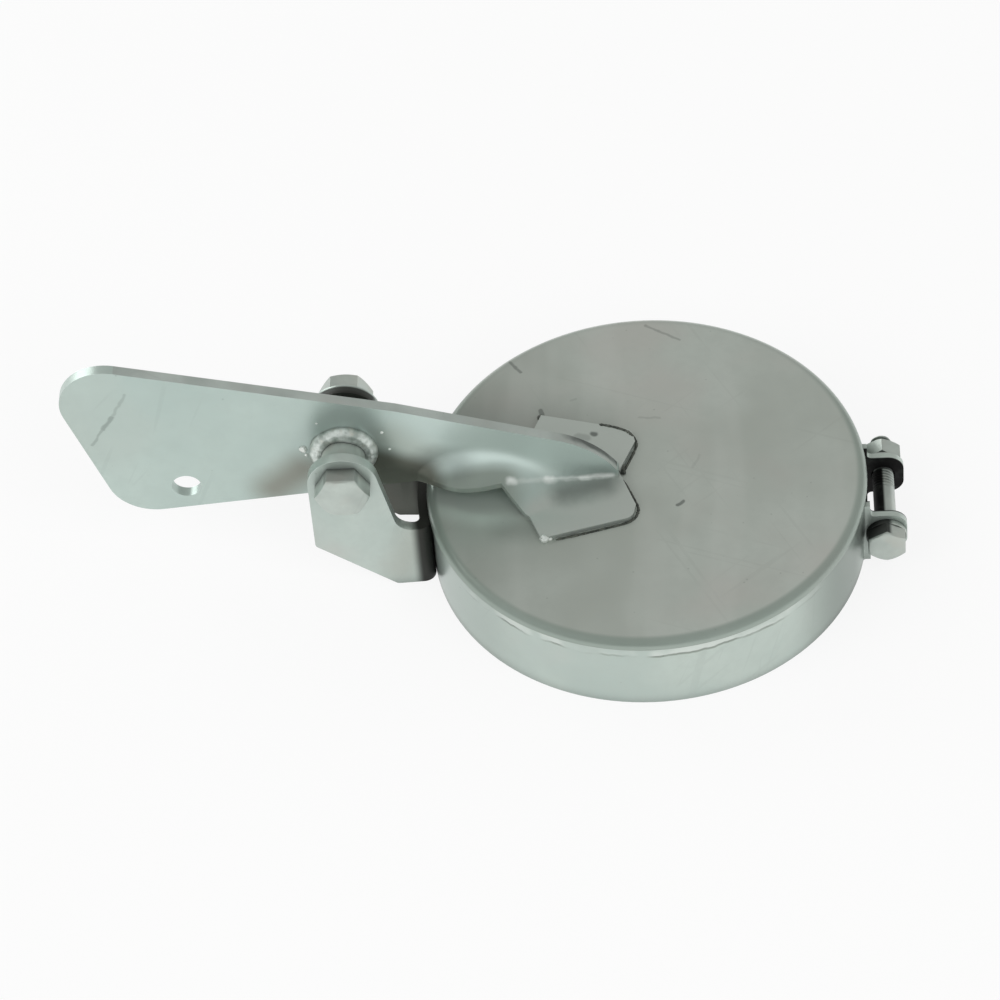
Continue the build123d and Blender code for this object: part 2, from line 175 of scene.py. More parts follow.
# Drops of weld. Spatter on the front plate: x, z, size. Tacks: centre, size, seed, shape.
SPATTER = (
    (-91.9, 42.2, 1.15),
    (-91.2, 39.8, 0.5),
    (-70.2, 47.6, 0.5),
    (-87.4, 52.1, 0.35),
    (-68.6, 40.9, 0.4),
)
FOOT_TACKS = (
    ((-27.6, -21.9, 25.2), 1.3, 7, (1.0, 0.9, 0.95)),
    ((-26.3, -21.8, 24.9), 0.8, 8, (1.0, 0.9, 0.8)),
)
TIP_TACKS = (
    ((-6.9, 2.6, 25.3), 1.2, 11, (1.0, 1.0, 1.0)),
    ((-6.2, 1.4, 24.9), 0.8, 12, (1.0, 1.0, 0.9)),
    ((-28.6, 22.6, 25.0), 1.0, 9, (1.0, 0.9, 0.9)),
)

# Dark runs along the feet's edges: partly weld residue, partly painted shade for the gap under the
# feet
SEAM_HALF_WIDTH = 0.4
SEAM_HEIGHT = 0.3
SEAM_AROUND = 8
SEAM_STEPS = 10
FRONT_SEAM = (
    (-24.6, -22.1, LID_TOP),
    (-17.0, -20.2, LID_TOP),
    (-10.0, -18.3, LID_TOP),
    (-5.6, -17.0, LID_TOP),
    (-3.3, -15.4, LID_TOP),
    (-2.4, -13.4, LID_TOP),
    (-2.3, -11.4, LID_TOP),
    (-3.5, -8.0, LID_TOP),
    (-5.2, -3.8, LID_TOP),
    (-6.7, -0.8, LID_TOP),
)
REAR_SEAM = (
    (-12.6, 18.3, FOOT_TOP),
    (-10.4, 17.7, FOOT_TOP),
    (-7.6, 16.7, FOOT_TOP),
    (-5.2, 15.5, FOOT_TOP),
    (-3.9, 14.2, FOOT_TOP),
    (-2.8, 12.6, LID_TOP + 0.9),
    (-2.5, 11.2, LID_TOP),
    (-3.5, 8.0, LID_TOP),
    (-5.2, 3.8, LID_TOP),
    (-6.7, 0.8, LID_TOP),
)


def place_camera():
    azimuth = math.radians(CAMERA_AZIMUTH)
    elevation = math.radians(CAMERA_ELEVATION)
    roll = math.radians(CAMERA_ROLL)
    back = Vector(
        (
            math.sin(azimuth) * math.cos(elevation),
            -math.cos(azimuth) * math.cos(elevation),
            math.sin(elevation),
        )
    )
    right = Vector((math.cos(azimuth), math.sin(azimuth), 0))
    up = back.cross(right)
    turned_right = math.cos(roll) * right + math.sin(roll) * up
    turned_up = math.cos(roll) * up - math.sin(roll) * right
    data = bpy.data.cameras.new("camera")
    data.lens = CAMERA_LENS
    data.sensor_width = CAMERA_SENSOR
    data.clip_start = 0.05
    data.clip_end = 60
    camera = bpy.data.objects.new("camera", data)
    matrix = Matrix((turned_right, turned_up, back)).transposed().to_4x4()
    matrix.translation = (Vector(CAMERA_TARGET) + back * CAMERA_DISTANCE) * MM
    camera.matrix_world = matrix
    bpy.context.scene.collection.objects.link(camera)
    bpy.context.scene.camera = camera


# Node helpers
class Graph:
    """Short calls for building a node tree. Inputs are numbers, tuples or sockets."""

    def __init__(self, tree):
        self.tree = tree
        tree.nodes.clear()

    def put(self, kind, settings=None, **inputs):
        node = self.tree.nodes.new("ShaderNode" + kind)
        for key, value in (settings or {}).items():
            setattr(node, key, value)
        for key, value in inputs.items():
            self.feed(node.inputs[key.replace("_", " ")], value)
        return node

    def feed(self, target, value):
        if isinstance(value, bpy.types.NodeSocket):
            self.tree.links.new(value, target)
        else:
            target.default_value = value

    def operate(self, kind, operation, values):
        node = self.put(kind, {"operation": operation})
        for k, value in enumerate(values):
            self.feed(node.inputs[k], value)
        return node.outputs

    def calc(self, operation, *values):
        return self.operate("Math", operation, values)[0]

    def vector(self, operation, *values):
        outputs = self.operate("VectorMath", operation, values)
        gives_number = operation in ("LENGTH", "DOT_PRODUCT", "DISTANCE")
        return outputs["Value" if gives_number else "Vector"]

    def product(self, first, *factors):
        for factor in factors:
            first = self.calc("MULTIPLY", first, factor)
        return first

    def largest(self, first, *others):
        for other in others:
            first = self.calc("MAXIMUM", first, other)
        return first

    def plus(self, value, mask, amount):
        """Value raised by amount where mask is 1."""
        return self.calc("ADD", value, self.calc("MULTIPLY", mask, amount))

    def ramp(self, value, low, high, to_low=0.0, to_high=1.0):
        """Smooth step from to_low at low to to_high at high. High may be the smaller."""
        node = self.put(
            "MapRange",
            {"interpolation_type": "SMOOTHSTEP"},
            Value=value,
            From_Min=low,
            From_Max=high,
            To_Min=to_low,
            To_Max=to_high,
        )
        return node.outputs["Result"]

    def span(self, value, low, high, to_low=0.0, to_high=1.0):
        """Ramp over a length, with low and high in millimetres."""
        return self.ramp(value, low * MM, high * MM, to_low, to_high)

    def mix(self, factor, first, second, blend="MIX"):
        # Sockets 6 and 7 are the two colours, and output 2 is the mixed one.
        node = self.put("Mix", {"data_type": "RGBA", "blend_type": blend})
        self.feed(node.inputs[0], factor)
        self.feed(node.inputs[6], first)
        self.feed(node.inputs[7], second)
        return node.outputs[2]

    def paint(self, colour, mask, strength, tone):
        """Colour covered with tone where mask is 1, as far as strength says."""
        return self.mix(self.product(mask, strength), colour, rgb(*tone))

    def noise(self, vector, scale, detail=2.0, roughness=0.5):
        node = self.put("TexNoise", Vector=vector, Scale=scale, Detail=detail, Roughness=roughness)
        return node.outputs["Fac"]

    def parts(self, vector):
        return tuple(self.put("SeparateXYZ", Vector=vector).outputs)

    def grey(self, value):
        return self.put("CombineColor", Red=value, Green=value, Blue=value).outputs[0]

    def from_axis(self, place):
        """Distance from the pipe's axis."""
        return self.vector("LENGTH", self.vector("MULTIPLY", place, (1.0, 1.0, 0.0)))

    def show(self, shader, output="OutputMaterial"):
        self.tree.links.new(shader.outputs[0], self.put(output).inputs["Surface"])


def rgb(red, green, blue):
    return (red, green, blue, 1.0)


def darker(tone, share):
    return rgb(*(channel * share for channel in tone))


def new_material(name):
    """Material with an empty graph, and the socket with the place on the object."""
    material = bpy.data.materials.new(name)
    material.use_nodes = True
    g = Graph(material.node_tree)
    return material, g, g.put("TexCoord").outputs["Object"]


def near_segment(g, place, start, end, width, core):
    """1 near a short line from start to end and 0 further than width from it.

    Core is the share of the width that keeps the full value.
    """
    first = Vector(start) * MM
    run = Vector(end) * MM - first
    offset = g.vector("SUBTRACT", place, tuple(first))
    along = g.vector("DOT_PRODUCT", offset, tuple(run / run.length_squared))
    along = g.calc("MINIMUM", g.calc("MAXIMUM", along, 0.0), 1.0)
    foot = g.put("CombineXYZ")
    for k in range(3):
        g.feed(foot.inputs[k], g.product(along, run[k]))
    distance = g.vector("DISTANCE", offset, foot.outputs[0])
    return g.span(distance, width * core, width, 1.0, 0.0)


# Materials
def wiping_scratches(g, place):
    """Hairlines in three directions, gathered in sparse patches."""
    hairs = []
    for turned in SCRATCH_TURNS:
        stretched = g.put(
            "Mapping",
            {"vector_type": "TEXTURE"},
            Vector=place,
            Rotation=turned,
            Scale=tuple(length * MM for length in SCRATCH_STRETCH),
        ).outputs[0]
        hairs.append(g.ramp(g.noise(stretched, 1.0, 0.0), 0.73, 0.78))
    sparse = g.ramp(g.noise(place, 42.0, 1.0), 0.46, 0.58)
    return g.product(g.largest(*hairs), sparse, SCRATCH_STRENGTH)


def plating_pores(g, place):
    """Small round pits of uneven size."""
    distance = g.put("TexVoronoi", Vector=place, Scale=310.0, Randomness=1.0).outputs["Distance"]
    size = g.ramp(g.noise(place, 190.0, 1.0), 0.3, 0.7, 0.2, -0.02)
    return g.ramp(g.calc("ADD", distance, size), 0.04, 0.1, 1.0, 0.0)


def shaken(g, place):
    """The place moved a little by noise, for marks with ragged borders."""
    jitter = g.put("TexNoise", Vector=place, Scale=420.0, Detail=1.0).outputs["Color"]
    jitter = g.vector("SUBTRACT", jitter, (0.5, 0.5, 0.5))
    return g.vector("ADD", place, g.vector("MULTIPLY", jitter, (JITTER * MM,) * 3))


def stain_and_shade_of(g, place, marks):
    """Strongest of the marks at each place. Wide marks fade from their middle."""
    marked = []
    for start, end, width, strength in marks:
        core = MARK_CORE if width < SOFT_MARK else 0.0
        marked.append(g.product(near_segment(g, place, start, end, width, core), strength))
    return g.largest(*marked)


def zinc(
    name,
    dark,
    light,
    tint,
    cloud,
    ripple,
    ripple_size,
    roughness=ZINC_ROUGHNESS,
    grain=0.012,
    crevice=0.0,
    crevice_reach=5.0,
    marks=(),
    glints=(),
    extra=None,
):
    """Satin zinc plating over steel: clouds, pores, wiping scratches and soft waviness.

    The plating is dulled by a thin grey bloom, so part of its light is scattered.
    Cloud and ripple_size are noise scales, ripple and grain are heights,
    crevice is how far hollows are darkened by painted shade, marks are stains and
    painted shade, the glint marks are painted highlights, and extra adds what only
    one piece has.
    """
    material, g, place = new_material(name)

    clouds = g.noise(place, cloud, 3.0, 0.55)
    mottle = g.noise(place, min(cloud * 14, FINEST_MOTTLE), 2.0, 0.55)
    warm = g.noise(g.vector("ADD", place, (3.1, 1.7, 0.4)), cloud * 1.3)
    scratches = wiping_scratches(g, place)
    pores = plating_pores(g, place)

    colour = g.mix(g.ramp(clouds, 0.32, 0.68), rgb(*dark), rgb(*light))
    colour = g.mix(g.ramp(mottle, 0.35, 0.75, 0.0, 0.28), colour, darker(light, 0.86))
    colour = g.mix(g.ramp(warm, 0.5, 0.72, 0.0, 0.55), colour, rgb(*tint))
    colour = g.mix(scratches, colour, darker(dark, 0.62))
    colour = g.mix(g.product(pores, 0.2), colour, darker(dark, 0.45))

    rough = g.ramp(clouds, 0.3, 0.7, roughness, roughness + 0.07)
    rough = g.plus(rough, pores, 0.25)

    height = g.product(g.noise(place, ripple_size, 1.0), ripple * MM)
    height = g.plus(height, mottle, 0.9 * grain * MM)
    height = g.plus(height, scratches, -grain * MM)
    height = g.plus(height, pores, -0.8 * grain * MM)

    ragged = shaken(g, place) if marks or glints else None
    if marks:
        stain_and_shade = stain_and_shade_of(g, ragged, marks)
        rough = g.plus(rough, stain_and_shade, 0.3)
    if extra:
        colour, rough, height = extra(g, place, colour, rough, height)
    # Stains, and the painted shade that some of the marks stand for
    if marks:
        colour = g.mix(stain_and_shade, colour, rgb(*STAIN_AND_SHADE))
    # Painted highlights along the given lines
    for start, end, width, strength in glints:
        glint = near_segment(g, ragged, start, end, width, 0.0)
        colour = g.paint(colour, glint, strength, GLINT_WHITE)
    # Painted shade: ambient occlusion darkens the colour in hollows
    if crevice:
        hollows = g.put("AmbientOcclusion", {"samples": 16}, Distance=crevice_reach * MM)
        shade = g.ramp(hollows.outputs["AO"], 0.3, 0.95, 1.0 - crevice, 1.0)
        colour = g.mix(1.0, colour, g.grey(shade), "MULTIPLY")

    bump = g.put("Bump", Height=height, Strength=1.0, Distance=1.0).outputs["Normal"]
    shader = g.put(
        "BsdfPrincipled",
        {"name": "Principled"},
        Base_Color=colour,
        Roughness=rough,
        Normal=bump,
        Metallic=ZINC_METALLIC,
    )
    g.show(shader)
    return material


def arm_scale_and_painted_light(g, place, colour, rough, height):
    """Arm plates: heat scale next to the sleeve weld, a faint darker ring round it, painted sheen
    on the web, painted shade on the bulge, a duller tone on the feet and the soft patches listed
    above.
    """
    x, y, z = g.parts(place)
    from_pivot = g.vector("SUBTRACT", place, (PIVOT_X * MM, 0.0, PIVOT_Z * MM))
    distance = g.vector("LENGTH", g.vector("MULTIPLY", from_pivot, (1.0, 0.0, 1.0)))
    distance = g.plus(distance, g.noise(place, 130.0), 6.0 * MM)
    # A faint darker ring round the sleeve weld, beyond its scale
    halo = g.product(
        g.span(distance, 10.5, 13.5),
        g.span(distance, 14.5, 21.5, 1.0, 0.0),
    )
    colour = g.paint(colour, halo, 0.12, WELD_RING_TONE)
    scale = g.span(distance, 8.5, 12.5, 0.2, 0.0)
    colour = g.mix(scale, colour, rgb(*HEAT_SCALE))
    rough = g.plus(rough, scale, 0.3)
    # Painted sheen: the flat web between the weld and the bulge is lighter
    web_sheen = g.product(g.span(x, -76.0, -42.0), g.span(z, 28.5, 34.0))
    colour = g.paint(colour, web_sheen, 0.85, WEB_SHEEN)
    # Painted shade on the outward bulge of the skirt
    bulge = g.product(
        g.span(g.calc("ABSOLUTE", y), 2.2, 5.0),
        g.span(x, -30.0, -38.0),
    )
    colour = g.paint(colour, bulge, 0.9, BULGE_SHADE)
    # Soft patches from the table above: painted shade by the weld, and a brown one
    for start, end, width, core, strength, tone in ARM_PATCHES:
        patch = near_segment(g, place, start, end, width, core)
        colour = g.paint(colour, patch, strength, tone)
    foot = g.product(g.span(x, -36.0, -30.0), g.span(z, 28.5, 26.4))
    colour = g.paint(colour, foot, 0.85, DULL_FOOT)
    return colour, rough, height


def lid_painted_light_and_streaks(g, place, colour, rough, height):
    """Lid: painted shade towards the hinge, a painted reflection of the arm beside it, wiped
    streaks and painted shade on the front of the rim.
    """
    x, y, z = g.parts(place)
    # Painted shade, darker towards the hinge
    across = g.plus(x, g.noise(place, 24.0), 30.0 * MM)
    grey = g.span(across, -55.0, 12.0, 0.46, 0.0)
    colour = g.mix(grey, colour, rgb(*LID_HINGE_SHADE))
    # Painted reflection of the arm's web on the lid beside it
    reflection_from, reflection_to = (-56.0, -5.0, LID_TOP), (-40.0, -8.5, LID_TOP)
    arm_reflection = near_segment(g, place, reflection_from, reflection_to, 11.0, MARK_CORE)
    arm_reflection = g.product(arm_reflection, g.span(z, 23.4, 24.4))
    colour = g.paint(colour, arm_reflection, 0.75, LID_ARM_REFLECTION)
    streaks = g.noise(g.vector("MULTIPLY", place, (70.0, 9.0, 1.0)), 1.0)
    colour = g.mix(g.ramp(streaks, 0.5, 0.66, 0.0, 0.2), colour, rgb(*LID_STREAKS))
    # Painted shade on the front of the rim's rounded shoulder
    rim = g.product(
        g.span(g.from_axis(place), 56.7, 58.2),
        g.span(y, 50.0, 12.0, 0.3, 1.0),
    )
    colour = g.paint(colour, rim, 0.66, LID_RIM_SHADE)
    return colour, rough, height


def band_lip(g, place, colour, rough, height):
    """Band: a raised wavy lip under the upper edge with a painted highlight and a painted shadow
    line, painted shade towards the clamp and the hinge side, and painted black shade on the lugs'
    inner faces and inside by the split.
    """
    x, y, z = g.parts(place)
    from_axis = g.from_axis(place)
    waves = g.noise(g.vector("MULTIPLY", place, (1.0, 1.0, 0.15)), 95.0, 3.0, 0.6)
    above = g.calc("SUBTRACT", z, g.plus(17.2 * MM, waves, 3.6 * MM))
    zone = g.product(g.span(y, -28.0, -45.0), g.span(from_axis, 58.5, 59.3))
    broken = g.ramp(g.noise(place, 44.0, 3.0, 0.65), 0.44, 0.6)
    # The raised lip, with a painted highlight on it and a painted shadow line along its lower
    # border
    raised_lip_highlight = g.product(zone, g.span(above, 0.0, 0.6), broken)
    near_line = g.span(g.calc("ABSOLUTE", above), 0.1, 0.6, 1.0, 0.0)
    line = g.product(zone, near_line, broken)
    colour = g.paint(colour, raised_lip_highlight, 0.55, LIP_HIGHLIGHT)
    colour = g.paint(colour, line, 0.6, LIP_SHADOW_LINE)
    height = g.plus(height, raised_lip_highlight, 0.18 * MM)

    # Painted shade towards the clamp, and faintly towards the hinge side
    end_shade = g.product(g.span(x, 36.0, 52.0), g.span(y, -8.0, -22.0))
    end_shade = g.largest(end_shade, g.span(x, -30.0, -46.0, 0.0, 0.3))
    colour = g.paint(colour, end_shade, 0.92, STRAP_END_SHADE)

    # Painted black shade on the lugs' inner faces and inside the band by the split
    lug_faces = g.product(
        g.span(g.calc("ABSOLUTE", y), 10.0, 9.6),
        g.span(x, 55.5, 58.5),
    )
    pipe_side = g.product(
        g.span(from_axis, 58.3, 57.7),
        g.span(x, 30.0, 56.0, 0.25, 1.0),
    )
    return black_shade(g, place, colour, rough, height, g.largest(lug_faces, pipe_side))


def black_shade(g, place, colour, rough, height, mask):
    """Painted black shade where the mask is 1, slightly patchy, with a rougher finish."""
    patchy = g.ramp(g.noise(place, 160.0, 3.0, 0.6), 0.2, 0.5, 0.93, 1.0)
    mask = g.product(mask, patchy)
    colour = g.mix(mask, colour, rgb(*BLACK_SHADE))
    rough = g.plus(rough, mask, 0.35)
    return colour, rough, height


def bracket_shade(g, place, colour, rough, height):
    """Bracket: painted shade on the ears' inner faces, on the rear ear's top and by the band, and
    a painted reflection on the front ear's bend.
    """
    _, y, z = g.parts(place)
    # Painted reflection: a tan tone where the front ear starts to bend towards the band
    bend_reflection = near_segment(g, place, (-68.0, -14.0, 6.0), (-63.0, -14.0, 20.0), 9.0, 0.0)
    colour = g.paint(colour, bend_reflection, 0.4, EAR_BEND_REFLECTION)

    # Painted shade on the ears' inner faces, deeper low on the rear ear
    rear_face = g.product(g.span(y, 9.8, 10.6), g.span(y, 12.4, 11.4))
    low = g.span(g.plus(z, g.noise(place, 110.0, 3.0), 4.0 * MM), 37.5, 31.5, 0.55, 0.84)
    front_face = g.span(g.calc("ABSOLUTE", y), 11.3, 10.9, 0.0, 0.1)
    ear_shade = g.largest(g.product(rear_face, low), front_face)
    colour = g.mix(ear_shade, colour, rgb(*EAR_SHADE))

    # Painted black shade in the gap by the band, and on the rear ear's top in the arm's shadow
    near_band = g.span(g.from_axis(place), 66.2, 63.2)
    rear_top = g.product(
        g.span(z, 43.5, 46.5),
        g.span(y, 10.5, 11.0),
        g.span(y, 13.8, 13.0),
    )
    black = g.largest(g.product(near_band, 0.95), g.product(rear_top, 0.92))
    colour = g.mix(black, colour, rgb(*GAP_SHADE))
    rough = g.plus(rough, g.largest(ear_shade, black), 0.2)
    return colour, rough, height


def fastener_shade(g, place, colour, rough, height):
    """Fasteners: painted black shade on the clamp screw's side towards the pipe, and on the upper
    sides of the screw head and the pivot bolt head.
    """
    x, y, z = g.parts(place)
    clamp_end = g.span(x, 40.0, 50.0)
    shank = g.product(
        g.span(g.calc("ABSOLUTE", y), 9.8, 9.2),
        g.span(x, SCREW_X + 0.3, SCREW_X - 0.5),
        clamp_end,
    )
    from_screw = g.vector("SUBTRACT", place, (SCREW_X * MM, 0.0, SCREW_Z * MM))
    screw_head = g.product(
        g.span(g.vector("DOT_PRODUCT", from_screw, (-0.62, 0.0, 0.78)), 2.7, 3.9),
        g.span(y, -16.65, -16.2),
        g.span(y, -9.5, -10.5),
        clamp_end,
        0.9,
    )
    bolt_head = g.product(
        g.span(g.calc("SUBTRACT", z, PIVOT_Z * MM), 4.4, 5.6),
        g.span(y, -18.8, -18.2),
        g.span(y, -13.0, -13.6),
        0.35,
    )
    return black_shade(g, place, colour, rough, height, g.largest(shank, screw_head, bolt_head))


def residue_and_gap_shade():
    """Dark glassy weld residue, also used as painted shade for the gap under the feet's edges."""
    material, g, place = new_material("residue_and_gap_shade")
    patches = g.noise(place, 900.0, 3.0, 0.6)
    colour = g.mix(g.ramp(patches, 0.35, 0.7), rgb(*DARK_RUN_DEEP), rgb(*DARK_RUN_PALE))
    height = g.product(g.noise(place, 1800.0), 0.1 * MM)
    shader = g.put(
        "BsdfPrincipled",
        Base_Color=colour,
        Roughness=g.ramp(patches, 0.3, 0.7, 0.35, 0.65),
        Normal=g.put("Bump", Height=height, Strength=1.0, Distance=1.0).outputs["Normal"],
        Metallic=0.0,
    )
    g.show(shader)
    return material


# Mesh helpers
def new_object(name, bm, material, smooth_angle=35.0):
    mesh = bpy.data.meshes.new(name)
    bmesh.ops.recalc_face_normals(bm, faces=bm.faces)
    bm.to_mesh(mesh)
    bm.free()
    mesh.shade_smooth()
    mesh.set_sharp_from_angle(angle=math.radians(smooth_angle))
    mesh.materials.append(material)
    piece = bpy.data.objects.new(name, mesh)
    bpy.context.scene.collection.objects.link(piece)
    return piece


def stand_for(piece, node, body):
    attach(piece, body)
    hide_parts(node)


def add_weld_detail(name, bm, material, smooth_angle=70.0):
    """Small piece of weld metal that no solid stands for. It moves with the lid."""
    piece = new_object(name, bm, material, smooth_angle)
    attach(piece, "flap")


def soften(piece, width, angle):
    """Small rounded edges with flat faces kept flat."""
    bevel = piece.modifiers.new("edges", "BEVEL")
    bevel.width = width * MM
    bevel.segments = 2
    bevel.limit_method = "ANGLE"
    bevel.angle_limit = math.radians(angle)
    bevel.harden_normals = True
    bevel.use_clamp_overlap = True


def dressed(node, body, material, edge, angle=35.0):
    """Copy of a solid's mesh with its triangles joined, its curves smooth and edges broken."""
    bm = bmesh.new()
    bm.from_mesh(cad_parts[node].data)
    bmesh.ops.remove_doubles(bm, verts=bm.verts, dist=MERGE * MM)
    flat = math.radians(FLAT_ANGLE)
    bmesh.ops.dissolve_limit(bm, angle_limit=flat, verts=bm.verts, edges=bm.edges)
    piece = new_object(node + "_dressed", bm, material, angle)
    soften(piece, edge, angle)
    stand_for(piece, node, body)
    return piece


def turns(steps):
    """Angles of a full circle."""
    return [2 * math.pi * k / steps for k in range(steps)]


def ring_of(bm, points):
    return [bm.verts.new(Vector(p) * MM) for p in points]


def bridge(bm, first, second):
    count = len(first)
    for k in range(count):
        bm.faces.new((first[k], first[(k + 1) % count], second[(k + 1) % count], second[k]))


def closed_tube(bm, rings):
    """Tube through the rings, with a face at each end."""
    for first, second in zip(rings, rings[1:]):
        bridge(bm, first, second)
    bm.faces.new(rings[-1])
    bm.faces.new(list(reversed(rings[0])))


def lathe_z(bm, profile, steps):
    """Surface of revolution about Z from (radius, z) points; radius 0 closes it."""
    before = None
    for radius, z in profile:
        around = turns(steps) if radius else [0.0]
        ring = ring_of(bm, [(radius * math.cos(t), radius * math.sin(t), z) for t in around])
        if before is not None:
            if len(before) == 1:
                for k in range(steps):
                    bm.faces.new((before[0], ring[k], ring[(k + 1) % steps]))
            elif len(ring) == 1:
                for k in range(steps):
                    bm.faces.new((ring[0], before[(k + 1) % steps], before[k]))
            else:
                bridge(bm, before, ring)
        before = ring


def smooth_path(path, steps):
    """Points of a Catmull-Rom curve through the path."""
    points = []
    for k in range(len(path) - 1):
        before = Vector(path[max(k - 1, 0)])
        first = Vector(path[k])
        second = Vector(path[k + 1])
        after = Vector(path[min(k + 2, len(path) - 1)])
        for j in range(steps):
            t = j / steps
            once = (second - before) * t
            twice = (2 * before - 5 * first + 4 * second - after) * t * t
            thrice = (3 * first - before - 3 * second + after) * t**3
            points.append(0.5 * (2 * first + once + twice + thrice))
    points.append(Vector(path[-1]))
    return points


# The pieces
def make_lid(material):
    """Flat plate with a rounded upper rim and a slight break at the lower one."""
    profile = [(radius, LID_LOW) for radius in (0, 20, 40, 54, 58.6)]
    profile += [(59.3, LID_LOW + 0.05), (59.75, LID_LOW + 0.2)]
    for degrees in range(0, 91, 9):
        angle = math.radians(degrees)
        radius = LID_RADIUS - LID_ROUND * (1 - math.cos(angle))
        profile.append((radius, LID_TOP - LID_ROUND * (1 - math.sin(angle))))
    profile += [(radius, LID_TOP) for radius in (56.5, 50, 40, 30, 20, 10, 0)]
    bm = bmesh.new()
    lathe_z(bm, profile, 160)
    lid = new_object("lid_disc_dressed", bm, material, 50.0)
    stand_for(lid, "lid_disc", "flap")


def make_weld(node, material, side):
    """Hand-laid weld bead round the sleeve, with overlapping ripples."""
    bm = bmesh.new()
    rings = []
    for turn in turns(WELD_STEPS):
        beat = (WELD_RIPPLES * turn / (2 * math.pi)) % 1.0
        ripple = abs(math.sin(math.pi * beat)) ** 0.6
        wander = noise.noise(Vector((math.cos(turn) * 1.7, math.sin(turn) * 1.7, 3.0 * side)))
        leg = WELD_LEG + 0.2 * wander + 0.13 * ripple
        rise = WELD_RISE + 0.2 * wander + 0.12 * ripple
        section = []
        for j in range(WELD_ARC + 1):
            angle = math.radians(90 * j / WELD_ARC)
            bulge = 1 + 0.12 * math.sin(2 * angle)
            radius = WELD_INNER + leg * math.cos(angle) * bulge
            section.append((radius, PLATE + rise * math.sin(angle) * bulge))
        section.append((WELD_INNER, PLATE))
        ring = [
            (PIVOT_X + radius * math.cos(turn), side * out, PIVOT_Z + radius * math.sin(turn))
            for radius, out in section
        ]
        rings.append(ring_of(bm, ring))
    for k, ring in enumerate(rings):
        bridge(bm, ring, rings[(k + 1) % WELD_STEPS])
    bead = new_object(node + "_dressed", bm, material, 60.0)
    stand_for(bead, node, "flap")


def cut_edges(piece, material):
    """Second material on the sheared edges: narrow faces between two sharp long sides."""
    sharp = math.radians(50.0)
    piece.data.materials.append(material)
    bm = bmesh.new()
    bm.from_mesh(piece.data)
    for face in bm.faces:
        sides = sorted(face.edges, key=lambda edge: -edge.calc_length())[:2]
        turned = [
            len(edge.link_faces) == 2 and edge.calc_face_angle(0.0) > sharp for edge in sides
        ]
        narrow = face.calc_area() < 2.0 * PLATE * MM * sides[0].calc_length()
        on_flat_plate = abs(face.calc_center_median().y) < 0.87 * PLATE * MM
        if all(turned) and narrow and on_flat_plate:
            face.material_index = 1
    bm.to_mesh(piece.data)
    bm.free()


def add_thread(piece, x, z, radius, pitch, y_plain, y_thread, y_end):
    """Swap the plain shank of a copied bolt for one with a rolled thread at its end.

    The shank runs along y through (x, z): under the head at y_plain, threaded from
    y_thread on, and with a tapered point at y_end.
    """
    around = 28
    depth = 0.54 * pitch
    play = 0.03
    axis = Vector((x, 0, z)) * MM
    bm = bmesh.new()
    bm.from_mesh(piece.data)

    def on_shank(vert):
        offset = vert.co - axis
        beyond_head = vert.co.y > (y_plain - 0.01) * MM
        return beyond_head and math.hypot(offset.x, offset.z) < (radius + 0.05) * MM

    bmesh.ops.delete(bm, geom=[v for v in bm.verts if on_shank(v)], context="VERTS")
    bmesh.ops.holes_fill(bm, edges=bm.edges, sides=0)
    y = y_thread - pitch
    stops = [y_plain - 0.5, y]
    while y < y_end:
        y += pitch / 8
        stops.append(min(y, y_end))
    rings = []
    for y in stops:
        ring = []
        for k, turn in enumerate(turns(around)):
            phase = ((y - y_thread) / pitch - k / around) % 1.0
            groove = max(0.0, 1 - abs(phase - 0.5) / 0.42)
            groove = min(1.0, groove * 1.25)
            fade = min(1.0, max(0.0, (y - y_thread + pitch) / (2 * pitch)))
            r = radius - play - depth * groove * fade
            r = min(r, radius - depth + (y_end - y) * 1.1)
            ring.append((x + r * math.cos(turn), y, z + r * math.sin(turn)))
        rings.append(ring_of(bm, ring))
    closed_tube(bm, rings)
    bmesh.ops.recalc_face_normals(bm, faces=bm.faces)
    bm.to_mesh(piece.data)
    bm.free()
    piece.data.shade_smooth()
    piece.data.set_sharp_from_angle(angle=math.radians(40))


def blob(bm, centre, size, seed, shape):
    """Small uneven drop of metal. Shape stretches it along x, y and z."""
    made = bmesh.ops.create_icosphere(bm, subdivisions=3, radius=1.0)["verts"]
    for vert in made:
        swell = 1 + 0.22 * noise.noise(vert.co * 1.4 + Vector((seed * 3.7, seed, 0)))
        grown = vert.co * swell * size
        vert.co = (Vector([a * b for a, b in zip(grown, shape)]) + Vector(centre)) * MM


def make_drops(material, residue_and_shade):
    """Weld spatter on the front plate, tacks at the front foot and dark, scorched ones behind."""
    bm = bmesh.new()
    for seed, (x, z, size) in enumerate(SPATTER):
        blob(bm, (x, -PLATE, z), size, seed, (1.0, 0.55, 1.0))
    add_weld_detail("weld_spatter", bm, material)

    for name, tacks, metal in (
        ("foot_tacks", FOOT_TACKS, material),
        ("tip_tack", TIP_TACKS, residue_and_shade),
    ):
        bm = bmesh.new()
        for centre, size, seed, shape in tacks:
            blob(bm, centre, size, seed, shape)
        add_weld_detail(name, bm, metal)


